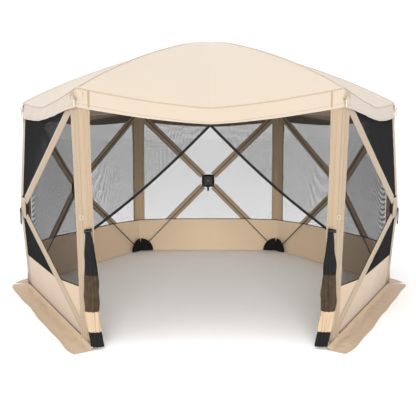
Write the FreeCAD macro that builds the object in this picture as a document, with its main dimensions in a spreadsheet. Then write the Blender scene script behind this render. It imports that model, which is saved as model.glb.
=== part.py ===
import FreeCAD
import Part
import Sketcher

import math
import os

# Six-sided hub-style screen house, in millimetres. +Z is up, the door faces -Y and the origin is
# on the ground at the middle. The tent has a sewn shell (roof, valance, five netting walls, an open
# door wall, bands and flaps) that is held up by a folding frame: one roof hub with six poles, and
# five wall hubs with four poles each. Every pole turns on a pin in its hub.

Vector = FreeCAD.Vector
UP = Vector(0, 0, 1)

doc = FreeCAD.newDocument("ScreenHouse")
sheet = doc.addObject("Spreadsheet::Sheet", "Sizes")

# ---------------------------------------------------------------- driving dimensions
SIZES = [
    # whole tent
    ("corner_radius", 1750), ("eave_height", 1755), ("peak_height", 2332),
    ("base_spread", 30), ("door_base_spread", -30), ("eave_sag", 130), ("eave_tuck", 20),
    ("crown_radius", 450), ("crown_drop", 112),
    # sewn shell
    ("cloth", 2), ("seam_gap", 2), ("strip_width", 88), ("corner_strip_width", 78),
    ("valance_height", 115), ("band_height", 395), ("flap_width", 170), ("flap_overhang", 150),
    ("hub_patch", 95), ("patch_radius", 155), ("pocket_size", 95), ("door_tie_height", 815),
    ("bundle_width", 70), ("bundle_depth", 34), ("bundle_net_foot", 500), ("bundle_bend", 240),
    ("bundle_foot", 14), ("bundle_inset", 4), ("bundle_standoff", 12), ("bundle_spill", 95),
    ("bundle_drift", 50),
    # poles and pins
    ("pole_diameter", 11), ("ferrule_diameter", 16), ("ferrule_start", 23), ("ferrule_length", 60),
    ("tip_length", 30), ("eye_radius", 7), ("eye_thickness", 8), ("eye_play", 0.5),
    ("pin_diameter", 6), ("pin_play", 0.05), ("pin_overhang", 16), ("tip_inset", 40), ("tip_drop", 25),
    # wall hubs
    ("hub_reach", 200), ("hub_height", 885), ("hub_radius", 60), ("hub_thickness", 30),
    ("hub_pin_circle", 45), ("hub_bore", 14), ("bar_diameter", 5), ("bar_length", 46),
    # roof hub
    ("roof_hub_height", 2285), ("roof_hub_radius", 75), ("roof_hub_thickness", 30),
    ("roof_pin_circle", 61), ("roof_tip_inset", 75),
    # trims
    ("ring_radius", 16), ("ring_wire", 4), ("ring_height", 905), ("toggle_length", 42),
    ("toggle_diameter", 11), ("strap_width", 25), ("strap_length", 110), ("guy_ring_height", 1690),
]
size = {}
for line, (alias, value) in enumerate(SIZES, start=1):
    sheet.set("A%d" % line, alias)
    sheet.set("B%d" % line, str(value))
    sheet.setAlias("B%d" % line, alias)
    size[alias] = float(value)
doc.recompute()

SIDES = 6
HALF_TURN = math.radians(180 / SIDES)
CORNERS = {"front_left": 240, "front_right": 300, "right": 0, "back_right": 60, "back_left": 120,
           "left": 180}
WALLS = {"front_right": 330, "back_right": 30, "back": 90, "back_left": 150, "front_left": 210}
DOOR = 270
apothem = size["corner_radius"] * math.cos(HALF_TURN)
half_side = size["corner_radius"] * math.sin(HALF_TURN)
pin_length = size["eye_thickness"] + size["pin_overhang"]

# small clearances and shares of a size, in millimetres where they are lengths
APEX_LIFT = 16.0            # cloth clear of the wall hub's outer face
HUB_PATCH_SHARE = 0.72      # how near to the hub a facet's netting comes, as a share of the patch
STRIP_END_SHARE = 1.5       # cross strips stop this many corner strips short of the corner
FLAP_CORNER = 0.62          # how much of a full mitre the ground flap keeps
LEAF_LAYER = -6             # the door leaf hangs inside the strips
POCKET_DROP = 12            # eave pockets start this far under the eave corner
PATCH_CLEARANCE = 8.0
TIP_DEPTH_SHARE = 0.75      # how much of a pole tip's inset its patch has to clear
SLOT_ROOM = 3.0
TIP_SETBACK = 14.0
TRIM_STANDOFF = 20.0


# ---------------------------------------------------------------- helpers
def radial(angle):
    turn = math.radians(angle)
    return Vector(math.cos(turn), math.sin(turn), 0)


def tangent(angle):
    turn = math.radians(angle)
    return Vector(-math.sin(turn), math.cos(turn), 0)


def bind(item, **sizes):
    """Tie properties of an object to cells of the sheet."""
    for name, formula in sizes.items():
        for alias in size:
            if alias in formula:
                formula = replace_word(formula, alias)
        item.setExpression(name, formula)
    return item


def replace_word(formula, alias):
    words = formula.replace("(", " ( ").replace(")", " ) ").split(" ")
    return " ".join("Sizes." + alias if word == alias else word for word in words)


def primitive(kind, name, place=None, **sizes):
    item = doc.addObject("Part::" + kind, name)
    bind(item, **sizes)
    if place is not None:
        item.Placement = place
    return item


def join(kind, name, *items):
    item = doc.addObject("Part::" + kind, name)
    if kind == "Cut":
        item.Base, item.Tool = items
    elif kind == "Compound":
        item.Links = list(items)
    else:
        item.Shapes = list(items)
    return item


def axes(origin, x_axis, y_axis):
    """Placement whose X and Y axes point along the given directions."""
    z_axis = x_axis.cross(y_axis)
    return FreeCAD.Placement(origin, FreeCAD.Rotation(x_axis, y_axis, z_axis, "XYZ"))


ALONG_X = FreeCAD.Rotation(Vector(0, 1, 0), 90)
ALONG_Y = FreeCAD.Rotation(Vector(1, 0, 0), -90)

nodes = []


def finish(item, label):
    item.Label = label
    nodes.append(item)
    return item


# ---------------------------------------------------------------- cloth panels
def inset_polygon(points, gap):
    """Pull each edge of a flat convex outline inwards by gap."""
    normal = outline_normal(points)
    count = len(points)
    moved = []
    for i in range(count):
        before, here, after = points[i - 1], points[i], points[(i + 1) % count]
        incoming = (here - before).normalize()
        outgoing = (after - here).normalize()
        side_in = normal.cross(incoming)
        side_out = normal.cross(outgoing)
        opening = 1 + side_in.dot(side_out)
        moved.append(here + (side_in + side_out) * (gap / opening))
    return moved


def outline_normal(points):
    total = Vector(0, 0, 0)
    for i in range(1, len(points) - 1):
        total += (points[i] - points[0]).cross(points[i + 1] - points[0])
    return total.normalize()


def clip(points, plane_point, plane_normal):
    """Keep the part of a convex outline on the side that plane_normal points to."""
    kept = []
    facing = Vector(plane_normal).normalize()
    for i, here in enumerate(points):
        after = points[(i + 1) % len(points)]
        depth_here = round((here - plane_point).dot(facing), 5)
        depth_after = round((after - plane_point).dot(facing), 5)
        if depth_here >= 0:
            kept.append(here)
        if depth_here * depth_after < 0:
            kept.append(here + (after - here) * (depth_here / (depth_here - depth_after)))
    tidy = [p for i, p in enumerate(kept) if (p - kept[i - 1]).Length > 0.5]
    return tidy if len(tidy) >= 3 else []


def within(points, facet):
    """Keep the part of an outline that lies inside a flat convex facet."""
    normal = outline_normal(facet)
    for i, here in enumerate(facet):
        after = facet[(i + 1) % len(facet)]
        points = clip(points, here, normal.cross(after - here))
    return points


def above(points, height):
    return clip(points, Vector(0, 0, height), UP)


def below(points, height):
    return clip(points, Vector(0, 0, height), -UP)


def panel(points, layer=0, gap=None, thickness=None):
    """One cut piece of cloth: a flat outline, raised by layer along its normal and given thickness."""
    normal = outline_normal(points)
    outline = inset_polygon(points, size["seam_gap"] if gap is None else gap)
    outline = [p + normal * layer for p in outline]
    wire = Part.makePolygon(outline + [outline[0]])
    return Part.Face(wire).extrude(normal * (thickness or size["cloth"]))


def cloth_node(label, solids):
    item = doc.addObject("Part::Feature", label)
    item.Shape = Part.makeCompound(solids)
    item.Placement = FreeCAD.Placement()
    return finish(item, label)


# ---------------------------------------------------------------- corner and wall points
def base_radius(name):
    spread = size["door_base_spread"] if name in ("front_left", "front_right") else size["base_spread"]
    return size["corner_radius"] + spread


def eave_corner(name):
    return radial(CORNERS[name]) * size["corner_radius"] + UP * size["eave_height"]


def base_corner(name):
    return radial(CORNERS[name]) * base_radius(name) + UP * BASE_LIFT


def wall_corners(angle):
    """Names of the corners at the left and the right of a wall, as seen from outside."""
    by_angle = {turn: name for name, turn in CORNERS.items()}
    step = 180 // SIDES
    return by_angle[(angle - step) % 360], by_angle[(angle + step) % 360]


# the lowest cloth edges stand on the ground flap's top
BASE_LIFT = size["cloth"] + size["seam_gap"]
hub_face = apothem + size["hub_reach"] + size["hub_thickness"] / 2


def wall_apex(angle):
    return radial(angle) * (hub_face + APEX_LIFT) + UP * size["hub_height"]


def wall_facets(angle):
    """The four triangles of a wall that its hub pushes outwards, each counter-clockwise from outside."""
    first, second = wall_corners(angle)
    top_a, top_b = eave_corner(first), eave_corner(second)
    low_a, low_b = base_corner(first), base_corner(second)
    apex = wall_apex(angle)
    return {"top": [top_a, apex, top_b], "first": [low_a, apex, top_a],
            "bottom": [low_b, apex, low_a], "second": [top_b, apex, low_b]}


def keep_from_hub(points, angle):
    """Leave the hub's own patch of cloth free: cut the outline back from the apex."""
    apex = wall_apex(angle)
    middle = Vector(0, 0, 0)
    for p in points:
        middle += p * (1 / len(points))
    away = (middle - apex).normalize()
    return clip(points, apex + away * size["hub_patch"] * HUB_PATCH_SHARE, away)


def strip(facet, start, end, inward, width, trim_start, trim_end, layer):
    """A sewn strip along an edge of a facet, on the side that inward points to."""
    along = (end - start).normalize()
    a = start + along * trim_start
    b = end - along * trim_end
    side = (inward - along * inward.dot(along)).normalize() * width
    points = [a, b, b + side, a + side]
    if outline_normal(points).dot(outline_normal(facet)) < 0:
        points.reverse()
    return panel(within(points, facet), layer=layer)


# layers from the wall's own plane outwards
# the netting is at layer 0, and each sewn layer lies further out
STRIP_LAYER = size["cloth"] + 1
CORNER_LAYER = 2 * STRIP_LAYER
VALANCE_LAYER = 4 * STRIP_LAYER
ROOF_LAYER = 5 * STRIP_LAYER


def build_walls():
    strips, bands, valances = [], [], []
    for name, angle in WALLS.items():
        net = []
        facets = wall_facets(angle)
        for facet in facets.values():
            open_part = keep_from_hub(above(facet, size["band_height"]), angle)
            for half in (-1, 1):
                piece = clip(open_part, Vector(0, 0, 0), tangent(angle) * half)
                piece = under_eave(piece, angle, half)
                if piece:
                    net.append(panel(piece))
            band_part = below(facet, size["band_height"])
            if band_part:
                bands.append(panel(band_part))
            valances += valance_pieces(facet, angle)
        cloth_node("wall_net_" + name, net)
        strips += cross_strips(angle, facets)
    valances += valance_pieces(door_outline(), DOOR)
    cloth_node("cross_strips", strips)
    cloth_node("lower_band", bands)
    cloth_node("valance", valances)


def under_eave(outline, angle, half, drop=0.0):
    """Keep what is below the sagging eave line of one half of a side; half is -1 at the first corner."""
    out, side = radial(angle), tangent(angle)
    corner = out * apothem + side * (half * half_side) + UP * (size["eave_height"] - drop)
    middle = out * apothem + UP * (size["eave_height"] - size["eave_sag"] - drop)
    down = out.cross(middle - corner) * half
    return clip(outline, middle, down) if outline else outline


def over_eave(outline, angle, half, drop):
    out, side = radial(angle), tangent(angle)
    corner = out * apothem + side * (half * half_side) + UP * (size["eave_height"] - drop)
    middle = out * apothem + UP * (size["eave_height"] - size["eave_sag"] - drop)
    upwards = (middle - corner).cross(out) * half
    return clip(outline, middle, upwards) if outline else outline


def valance_pieces(outline, angle):
    """The valance over one facet: a band of even height under each half of the sagging eave line."""
    pieces = []
    for half in (-1, 1):
        part = clip(outline, Vector(0, 0, 0), tangent(angle) * half)
        part = under_eave(part, angle, half)
        part = over_eave(part, angle, half, size["valance_height"])
        if part:
            pieces.append(panel(part, layer=VALANCE_LAYER))
    return pieces


def cross_strips(angle, facets):
    """Half a strip on each side of the four creases from the hub to the corners."""
    pieces = []
    apex = wall_apex(angle)
    for facet in facets.values():
        ends = [p for p in facet if (p - apex).Length > 1]
        middle = (ends[0] + ends[1]) * 0.5
        for end in ends:
            trim_end = size["corner_strip_width"] * STRIP_END_SHARE
            pieces.append(strip(facet, apex, end, middle - end, size["strip_width"] / 2,
                                size["hub_patch"], trim_end, STRIP_LAYER))
    return pieces


def door_outline():
    first, second = wall_corners(DOOR)
    return [eave_corner(first), base_corner(first), base_corner(second), eave_corner(second)]


def build_corner_strips():
    """The upright strips at the six corners: one strip in each of the two walls that meet there."""
    pieces = []
    for angle in list(WALLS.values()) + [DOOR]:
        first, second = wall_corners(angle)
        facets = wall_facets(angle)
        for name, side in ((first, "first"), (second, "second")):
            top, low = eave_corner(name), base_corner(name)
            facet = facets[side]
            inward = wall_apex(angle) - top
            if angle == DOOR:
                facet = door_outline()
                inward = tangent(angle) * (1 if name == first else -1)
            pieces.append(strip(facet, low, top, inward, size["corner_strip_width"], 0, 0,
                                CORNER_LAYER))
    cloth_node("corner_strips", pieces)


# ---------------------------------------------------------------- roof
def build_canopy():
    """Six gores, each from a sagging eave up to a rounded crown over the roof hub."""
    pieces = []
    lift = UP * ROOF_LAYER
    peak = UP * size["peak_height"] - UP * (size["cloth"] * 2)
    crown_height = size["peak_height"] - size["crown_drop"]
    for angle in list(WALLS.values()) + [DOOR]:
        first, second = wall_corners(angle)
        stretch = 1 + (VALANCE_LAYER + 4) / size["corner_radius"]
        eave_a = radial(CORNERS[first]) * size["corner_radius"] * stretch + UP * size["eave_height"] + lift
        eave_b = radial(CORNERS[second]) * size["corner_radius"] * stretch + UP * size["eave_height"] + lift
        low_eave = radial(angle) * (apothem * stretch - size["eave_tuck"])
        low_eave += UP * (size["eave_height"] - size["eave_sag"]) + lift
        crown_a = radial(CORNERS[first]) * size["crown_radius"] + UP * crown_height
        crown_b = radial(CORNERS[second]) * size["crown_radius"] + UP * crown_height
        pieces.append(panel([eave_a, low_eave, crown_a]))
        pieces.append(panel([low_eave, crown_b, crown_a]))
        pieces.append(panel([low_eave, eave_b, crown_b]))
        pieces.append(panel([crown_a, crown_b, peak]))
    cloth_node("canopy", pieces)


# ---------------------------------------------------------------- ground flap
def flap_end(name, mitre):
    if name in wall_corners(DOOR):
        return size["flap_overhang"], size["flap_overhang"]
    return 0, mitre


def build_flap():
    """Cloth that lies on the ground outside the five netting walls."""
    pieces = []
    for angle in WALLS.values():
        first, second = wall_corners(angle)
        low_a, low_b = base_corner(first), base_corner(second)
        out = radial(angle) * size["flap_width"]
        along = (low_b - low_a).normalize()
        mitre = math.tan(HALF_TURN) * size["flap_width"] * FLAP_CORNER
        start = Vector(low_a.x, low_a.y, 0) + radial(angle) * (CORNER_LAYER + 6)
        end = Vector(low_b.x, low_b.y, 0) + radial(angle) * (CORNER_LAYER + 6)
        # beside the door the flap runs on past the corner, and elsewhere its corner is trimmed
        inner_a, outer_a = flap_end(first, mitre)
        inner_b, outer_b = flap_end(second, mitre)
        points = [start - along * inner_a, end + along * inner_b,
                  end + along * outer_b + out, start - along * outer_a + out]
        points.reverse()
        pieces.append(panel(points))
    cloth_node("ground_flap", pieces)


# ---------------------------------------------------------------- door
def build_door():
    """Two netting door leaves, tied back to the door corners like curtains."""
    first, second = wall_corners(DOOR)
    face = radial(DOOR)
    tie_up = size["door_tie_height"]
    for label, name, side in (("door_net_left", first, 1), ("door_net_right", second, -1)):
        top, low = eave_corner(name), base_corner(name)
        to_middle = tangent(DOOR) * side
        drop = (top.z - tie_up) / (top.z - low.z)
        tie = top + (low - top) * drop
        inset = to_middle * size["corner_strip_width"]
        shoulder = top + (low - top) * (size["valance_height"] / (top.z - low.z))
        apex_height = size["eave_height"] - size["eave_sag"] - size["valance_height"]
        apex_share = (top.z - apex_height) / (top.z - low.z)
        apex = face * ((top + (low - top) * apex_share).dot(face)) + UP * apex_height
        upper = [shoulder + inset, tie + inset, apex]
        pieces = [door_leaf(upper)]
        heights = [tie_up, size["bundle_net_foot"], size["bundle_bend"], size["bundle_foot"]]
        for high, bottom in zip(heights, heights[1:]):
            pieces.append(door_bundle(top, low, to_middle, high, bottom))
        cloth_node(label, pieces)


def door_leaf(points):
    if outline_normal(points).dot(radial(DOOR)) < 0:
        points = list(reversed(points))
    return panel(points, layer=LEAF_LAYER)


def door_bundle(top, low, to_middle, high, bottom):
    """One stretch of the gathered leaf: it hangs in front of the corner strip and spills at its foot."""
    face = radial(DOOR)
    rings = []
    for height in (bottom + size["seam_gap"], high - size["seam_gap"]):
        share = (height - low.z) / (top.z - low.z)
        bend = max(0, (size["bundle_bend"] - height) / size["bundle_bend"])
        start = low + (top - low) * share
        a = start + to_middle * (size["bundle_inset"] + size["bundle_drift"] * bend)
        a = a + face * (size["bundle_standoff"] + size["bundle_spill"] * bend)
        b = a + to_middle * size["bundle_width"]
        front = face * size["bundle_depth"]
        rings.append([a, b, b + front, a + front])
    wires = [Part.makePolygon(ring + [ring[0]]) for ring in rings]
    return Part.makeLoft(wires, True, True)


# ---------------------------------------------------------------- corner patches and pockets
def build_patches():
    """Half-round patches over the pole ends at the ground, and pockets under the eave."""
    low_patches, pockets = [], []
    for angle in WALLS.values():
        for name in wall_corners(angle):
            low_patches.append(quarter_patch(name, angle, base_corner(name), UP, size["patch_radius"]))
            pockets.append(quarter_patch(name, angle, eave_corner(name) - UP * POCKET_DROP, -UP,
                                         size["pocket_size"]))
    cloth_node("corner_patches", low_patches + pockets)


def quarter_patch(name, angle, corner, upwards, reach):
    """A quarter disc in the wall plane, inside the pole end."""
    first, second = wall_corners(angle)
    inward = tangent(angle) * (1 if name == first else -1)
    depth = size["ferrule_diameter"] / 2 + size["tip_inset"] * TIP_DEPTH_SHARE + PATCH_CLEARANCE
    centre = corner - radial(angle) * depth + upwards * size["seam_gap"]
    centre = centre + inward * (depth * math.tan(HALF_TURN) + size["seam_gap"])
    radius = reach - depth * math.tan(HALF_TURN)
    arc = [centre + inward * radius,
           centre + (inward + upwards) * (radius * math.sqrt(0.5)),
           centre + upwards * radius]
    outline = Part.Wire([Part.makeLine(centre, arc[0]), Part.Arc(*arc).toShape(),
                         Part.makeLine(arc[2], centre)])
    return Part.Face(outline).extrude(radial(angle) * -size["cloth"])


# ---------------------------------------------------------------- poles
def pole(label, pin, direction, hinge, reach):
    """A fibreglass rod with a moulded eye at its hub end and a rounded cap at its far end.

    The pole's own X axis runs from its pin to its tip, and its Y axis is the pin's axis.
    """
    lengthwise = FreeCAD.Placement(Vector(0, 0, 0), ALONG_X)
    rod = primitive("Cylinder", label + "_rod", Radius="pole_diameter / 2")
    rod.Placement = FreeCAD.Placement(Vector(size["ferrule_start"] + 4, 0, 0), ALONG_X)
    rod.Height = reach - size["ferrule_start"] - size["tip_length"] / 2
    ferrule = primitive("Cylinder", label + "_ferrule", Radius="ferrule_diameter / 2",
                        Height="ferrule_length")
    ferrule.Placement = FreeCAD.Placement(Vector(size["ferrule_start"], 0, 0), ALONG_X)
    tongue = primitive("Box", label + "_tongue", Length="ferrule_start + 2", Width="eye_thickness",
                       Height="eye_radius * 2")
    tongue.Placement = FreeCAD.Placement(Vector(0, -size["eye_thickness"] / 2, -size["eye_radius"]),
                                         FreeCAD.Rotation())
    eye = primitive("Cylinder", label + "_eye", Radius="eye_radius", Height="eye_thickness")
    eye.Placement = FreeCAD.Placement(Vector(0, -size["eye_thickness"] / 2, 0), ALONG_Y)
    cap = primitive("Cylinder", label + "_cap", Radius="ferrule_diameter / 2", Height="tip_length")
    cap.Placement = FreeCAD.Placement(Vector(reach - size["tip_length"], 0, 0), ALONG_X)
    blank = join("MultiFuse", label + "_blank", rod, ferrule, tongue, eye, cap)
    hole = primitive("Cylinder", label + "_hole", Radius="pin_diameter / 2 + pin_play",
                     Height="eye_thickness + 4")
    hole.Placement = FreeCAD.Placement(Vector(0, -size["eye_thickness"] / 2 - 2, 0), ALONG_Y)
    item = join("Cut", label, blank, hole)
    item.Placement = axes(pin, direction, hinge)
    return finish(item, label)


def pins(label, places, length_formula):
    """The pins of one hub: identical short steel pins, one across each slot."""
    pieces = []
    for number, (centre, direction, hinge) in enumerate(places, start=1):
        pin = primitive("Cylinder", "%s_%d" % (label, number), Radius="pin_diameter / 2",
                        Height=length_formula)
        shift = hinge * (-pin_length / 2)
        # a cylinder's own axis is Z, so the placement's Z axis is laid along the hinge
        pin.Placement = FreeCAD.Placement(
            centre + shift, FreeCAD.Rotation(hinge.cross(direction), direction, hinge, "ZYX"))
        pieces.append(pin)
    return finish(join("Compound", label, *pieces), label)


# ---------------------------------------------------------------- hubs
def origin_plane(body, role):
    return [f for f in body.Origin.OriginFeatures if f.Role == role][0]


def sketch_on(body, name, role):
    drawing = body.newObject("Sketcher::SketchObject", name)
    drawing.AttachmentSupport = (origin_plane(body, role), [""])
    drawing.MapMode = "FlatFace"
    return drawing


def circle_sketch(body, name, formula, role="XY_Plane"):
    drawing = sketch_on(body, name, role)
    drawing.addGeometry(Part.Circle(Vector(0, 0, 0), UP, 10), False)
    drawing.addConstraint(Sketcher.Constraint("Coincident", 0, 3, -1, 1))
    drawing.addConstraint(Sketcher.Constraint("Radius", 0, 10))
    drawing.renameConstraint(1, "radius")
    bind(drawing, **{"Constraints.radius": formula})
    return drawing


def hub(label, place, radius, thickness, pin_circle, slot_angles, bore, bar=False):
    """A moulded hub: a disc with a bore, and one open slot with a pin hole for each pole."""
    body = doc.addObject("PartDesign::Body", label + "_disc")
    disc = body.newObject("PartDesign::Pad", label + "_pad")
    disc.Profile = circle_sketch(body, label + "_outline", radius)
    disc.Midplane = True
    bind(disc, Length=thickness)
    through = body.newObject("PartDesign::Pocket", label + "_bore")
    through.Profile = circle_sketch(body, label + "_bore_outline", bore)
    through.Type = "ThroughAll"
    through.Midplane = True
    body.Tip = through
    tools = []
    for number, turn in enumerate(slot_angles, start=1):
        way = Vector(math.cos(math.radians(turn)), math.sin(math.radians(turn)), 0)
        side = UP.cross(way)
        slot = primitive("Box", "%s_slot_%d" % (label, number), Length="hub_radius",
                         Width="eye_thickness + eye_play * 2", Height=thickness + " + 4")
        inner = size[pin_circle] - size["eye_radius"] - SLOT_ROOM
        wide = size["eye_thickness"] / 2 + size["eye_play"]
        tall = size[thickness] / 2 + 2
        slot.Placement = FreeCAD.Placement(way * inner - side * wide - UP * tall,
                                           FreeCAD.Rotation(way, side, UP, "XYZ"))
        hole = primitive("Cylinder", "%s_pin_hole_%d" % (label, number), Radius="pin_diameter / 2",
                         Height="eye_thickness + pin_overhang")
        hole.Placement = FreeCAD.Placement(way * size[pin_circle] - side * (pin_length / 2),
                                           FreeCAD.Rotation(UP.cross(side) * -1, UP, side, "ZYX"))
        tools += [slot, hole]
    if bar:
        channel = primitive("Cylinder", label + "_bar_channel", Radius="bar_diameter / 2 + pin_play",
                            Height="bar_length + 1")
        channel.Placement = FreeCAD.Placement(Vector(-(size["bar_length"] + 1) / 2, 0, 0), ALONG_X)
        tools.append(channel)
    cutter = join("MultiFuse", label + "_cutter", *tools)
    item = join("Cut", label, body, cutter)
    item.Placement = place
    return finish(item, label)


def build_wall_frame(name, angle):
    out, side = radial(angle), tangent(angle)
    centre = out * (apothem + size["hub_reach"]) + UP * size["hub_height"]
    slots, places = [], []
    first, second = wall_corners(angle)
    for height, corner_at, drop in (("upper", eave_corner, -size["tip_drop"]),
                                    ("lower", base_corner, size["tip_drop"])):
        for hand, corner, sign in (("left", first, -1), ("right", second, 1)):
            tip = corner_at(corner) - side * (sign * size["tip_inset"]) + UP * drop - out * TIP_SETBACK
            reach = tip - centre
            across, rise, depth = reach.dot(side), reach.dot(UP), reach.dot(out)
            flat = math.hypot(across, rise)
            along = side * (across / flat) + UP * (rise / flat)
            run = flat - size["hub_pin_circle"]
            lean = math.atan2(depth, run)
            direction = along * math.cos(lean) + out * math.sin(lean)
            hinge = along.cross(out)
            pin = centre + along * size["hub_pin_circle"]
            pole("pole_%s_%s_%s" % (name, height, hand), pin, direction, hinge,
                 math.hypot(run, depth))
            slots.append(math.degrees(math.atan2(rise, across)))
            places.append((pin, along, hinge))
    hub("wall_hub_" + name, axes(centre, side, UP), "hub_radius", "hub_thickness", "hub_pin_circle",
        slots, "hub_bore", bar=True)
    pins("wall_hub_pins_" + name, places, "eye_thickness + pin_overhang")
    rod = primitive("Cylinder", "strap_bar_" + name, Radius="bar_diameter / 2", Height="bar_length")
    rod.Placement = FreeCAD.Placement(centre - side * (size["bar_length"] / 2),
                                      FreeCAD.Rotation(UP, out, side, "ZYX"))
    finish(rod, "strap_bar_" + name)


def build_roof_frame():
    slots, places = [], []
    drop = size["roof_hub_height"] - (size["eave_height"] - size["tip_drop"])
    run = size["corner_radius"] - size["roof_tip_inset"] - size["roof_pin_circle"]
    lean = math.atan2(drop, run)
    centre = UP * size["roof_hub_height"]
    for name, angle in CORNERS.items():
        out = radial(angle)
        direction = out * math.cos(lean) - UP * math.sin(lean)
        hinge = out.cross(-UP)
        pin = centre + out * size["roof_pin_circle"]
        pole("roof_pole_" + name, pin, direction, hinge, math.hypot(run, drop))
        slots.append(angle)
        places.append((pin, out, hinge))
    hub("roof_hub", FreeCAD.Placement(centre, FreeCAD.Rotation()), "roof_hub_radius",
        "roof_hub_thickness", "roof_pin_circle", slots, "hub_bore")
    pins("roof_hub_pins", places, "eye_thickness + pin_overhang")
    strap = primitive("Box", "roof_pull_strap", Length="strap_width", Width="cloth",
                      Height="strap_length")
    strap.Placement = FreeCAD.Placement(
        Vector(-size["strap_width"] / 2, -size["cloth"] / 2,
               size["roof_hub_height"] - size["roof_hub_thickness"] / 2 - size["strap_length"] - 1),
        FreeCAD.Rotation())
    finish(strap, "roof_pull_strap")


# ---------------------------------------------------------------- trims
def build_trims():
    """D-rings on the door corners, and toggles at the door ties and the eave corners."""
    rings, toggles = [], []
    for name in wall_corners(DOOR):
        low, top = base_corner(name), eave_corner(name)
        share = (size["ring_height"] - low.z) / (top.z - low.z)
        at = low + (top - low) * share
        out = radial(CORNERS[name])
        ring = primitive("Torus", "ring_" + name, Radius1="ring_radius", Radius2="ring_wire / 2")
        ring.Placement = axes(at + out * TRIM_STANDOFF, tangent(CORNERS[name]), UP)
        rings.append(ring)
        share = (size["door_tie_height"] - low.z) / (top.z - low.z)
        at = low + (top - low) * share
        inward = tangent(DOOR) * (1 if name == wall_corners(DOOR)[0] else -1)
        toggle = primitive("Cylinder", "tie_toggle_" + name, Radius="toggle_diameter / 2",
                           Height="toggle_length")
        toggle.Placement = FreeCAD.Placement(
            at + radial(DOOR) * TRIM_STANDOFF + inward * (size["corner_strip_width"] + 20),
            ALONG_X)
        toggle.Placement.Base.x -= size["toggle_length"] / 2
        toggles.append(toggle)
    for name, angle in CORNERS.items():
        toggle = primitive("Cylinder", "guy_toggle_" + name, Radius="toggle_diameter / 2",
                           Height="toggle_length")
        at = eave_corner(name) + radial(angle) * (VALANCE_LAYER + TRIM_STANDOFF + 6)
        at.z = size["guy_ring_height"] - size["toggle_length"]
        toggle.Placement = FreeCAD.Placement(at, FreeCAD.Rotation())
        toggles.append(toggle)
    finish(join("Compound", "door_rings", *rings), "door_rings")
    finish(join("Compound", "toggles", *toggles), "toggles")


build_walls()
build_corner_strips()
build_canopy()
build_flap()
build_door()
build_patches()
for wall_name, wall_angle in WALLS.items():
    build_wall_frame(wall_name, wall_angle)
build_roof_frame()
build_trims()

# ---------------------------------------------------------------- check and write
doc.recompute()
for item in doc.Objects:
    if "Invalid" in item.State or "Error" in item.State:
        raise RuntimeError("%s failed: %s" % (item.Name, item.State))
os.makedirs("parts", exist_ok=True)
for item in nodes:
    shape = item.Shape
    if shape.isNull() or not shape.isValid() or not shape.Solids:
        raise RuntimeError("%s has no valid solid" % item.Label)
    shape.exportStep("parts/%s.step" % item.Label)
print("%d nodes written" % len(nodes))
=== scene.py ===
import math

import bpy
import bmesh
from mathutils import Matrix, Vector, noise


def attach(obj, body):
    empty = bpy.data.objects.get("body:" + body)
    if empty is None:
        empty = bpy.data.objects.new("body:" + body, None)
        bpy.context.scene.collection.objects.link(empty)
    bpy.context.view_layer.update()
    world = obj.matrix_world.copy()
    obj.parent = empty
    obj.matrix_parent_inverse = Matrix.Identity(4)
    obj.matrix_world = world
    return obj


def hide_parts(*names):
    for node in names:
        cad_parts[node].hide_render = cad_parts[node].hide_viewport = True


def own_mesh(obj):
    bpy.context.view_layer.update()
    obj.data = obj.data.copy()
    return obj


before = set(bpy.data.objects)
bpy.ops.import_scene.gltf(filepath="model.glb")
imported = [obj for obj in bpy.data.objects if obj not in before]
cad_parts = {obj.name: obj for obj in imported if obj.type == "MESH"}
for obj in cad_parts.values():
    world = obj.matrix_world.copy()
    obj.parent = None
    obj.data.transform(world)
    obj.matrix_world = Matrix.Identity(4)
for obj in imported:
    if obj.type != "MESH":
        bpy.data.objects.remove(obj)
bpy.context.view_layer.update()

# ------------------------------------------------------------------ the tent's own sizes, in metres
SIDES = 6
CORNER_RADIUS, EAVE_HEIGHT, PEAK_HEIGHT = 1.75, 1.755, 2.330
EAVE_SAG, WALL_EAVE_SAG, EAVE_TUCK = 0.13, 0.085, 0.02
BASE_SPREAD, DOOR_BASE_SPREAD, BASE_LIFT = 0.03, -0.03, 0.004
BAND_HEIGHT, HUB_HEIGHT, HUB_OUT = 0.395, 0.885, 0.2
APEX_OUT = HUB_OUT + 0.031
NET_LIFT, STRIP_LIFT, CORNER_LIFT, VALANCE_LIFT, ROOF_LIFT = 0.001, 0.004, 0.007, 0.013, 0.017
STRIP_WIDTH, CORNER_STRIP_WIDTH, HUB_PATCH = 0.088, 0.078, 0.115
FLAP_WIDTH, FLAP_OVERHANG, FLAP_MITRE = 0.17, 0.15, 0.061
TIE_HEIGHT, DOOR_BAND, FOOT_PATCH = 0.815, 0.50, 0.11
CLOTH = 0.0012
NET_PITCH = 0.0025
NET_COVER = 0.215
NET_TUCK = 0.009

WALL_LEAN = APEX_OUT / (EAVE_HEIGHT - HUB_HEIGHT)

UP = Vector((0, 0, 1))
CORNERS = {"front_left": 240, "front_right": 300, "right": 0, "back_right": 60, "back_left": 120, "left": 180}
WALLS = {"front_right": 330, "back_right": 30, "back": 90, "back_left": 150, "front_left": 210}
DOOR = 270
ALL_SIDES = dict(WALLS, door=DOOR)
APOTHEM = CORNER_RADIUS * math.cos(math.pi / SIDES)
HALF_SIDE = CORNER_RADIUS * math.sin(math.pi / SIDES)
GROUND_CLEAR = 0.003
POST_KEEP, DOOR_KEEP = 0.11, 0.118


def radial(angle):
    turn = math.radians(angle)
    return Vector((math.cos(turn), math.sin(turn), 0))


def tangent(angle):
    turn = math.radians(angle)
    return Vector((-math.sin(turn), math.cos(turn), 0))


def side_corners(angle):
    names = {turn: name for name, turn in CORNERS.items()}
    return names[(angle - 30) % 360], names[(angle + 30) % 360]


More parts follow.
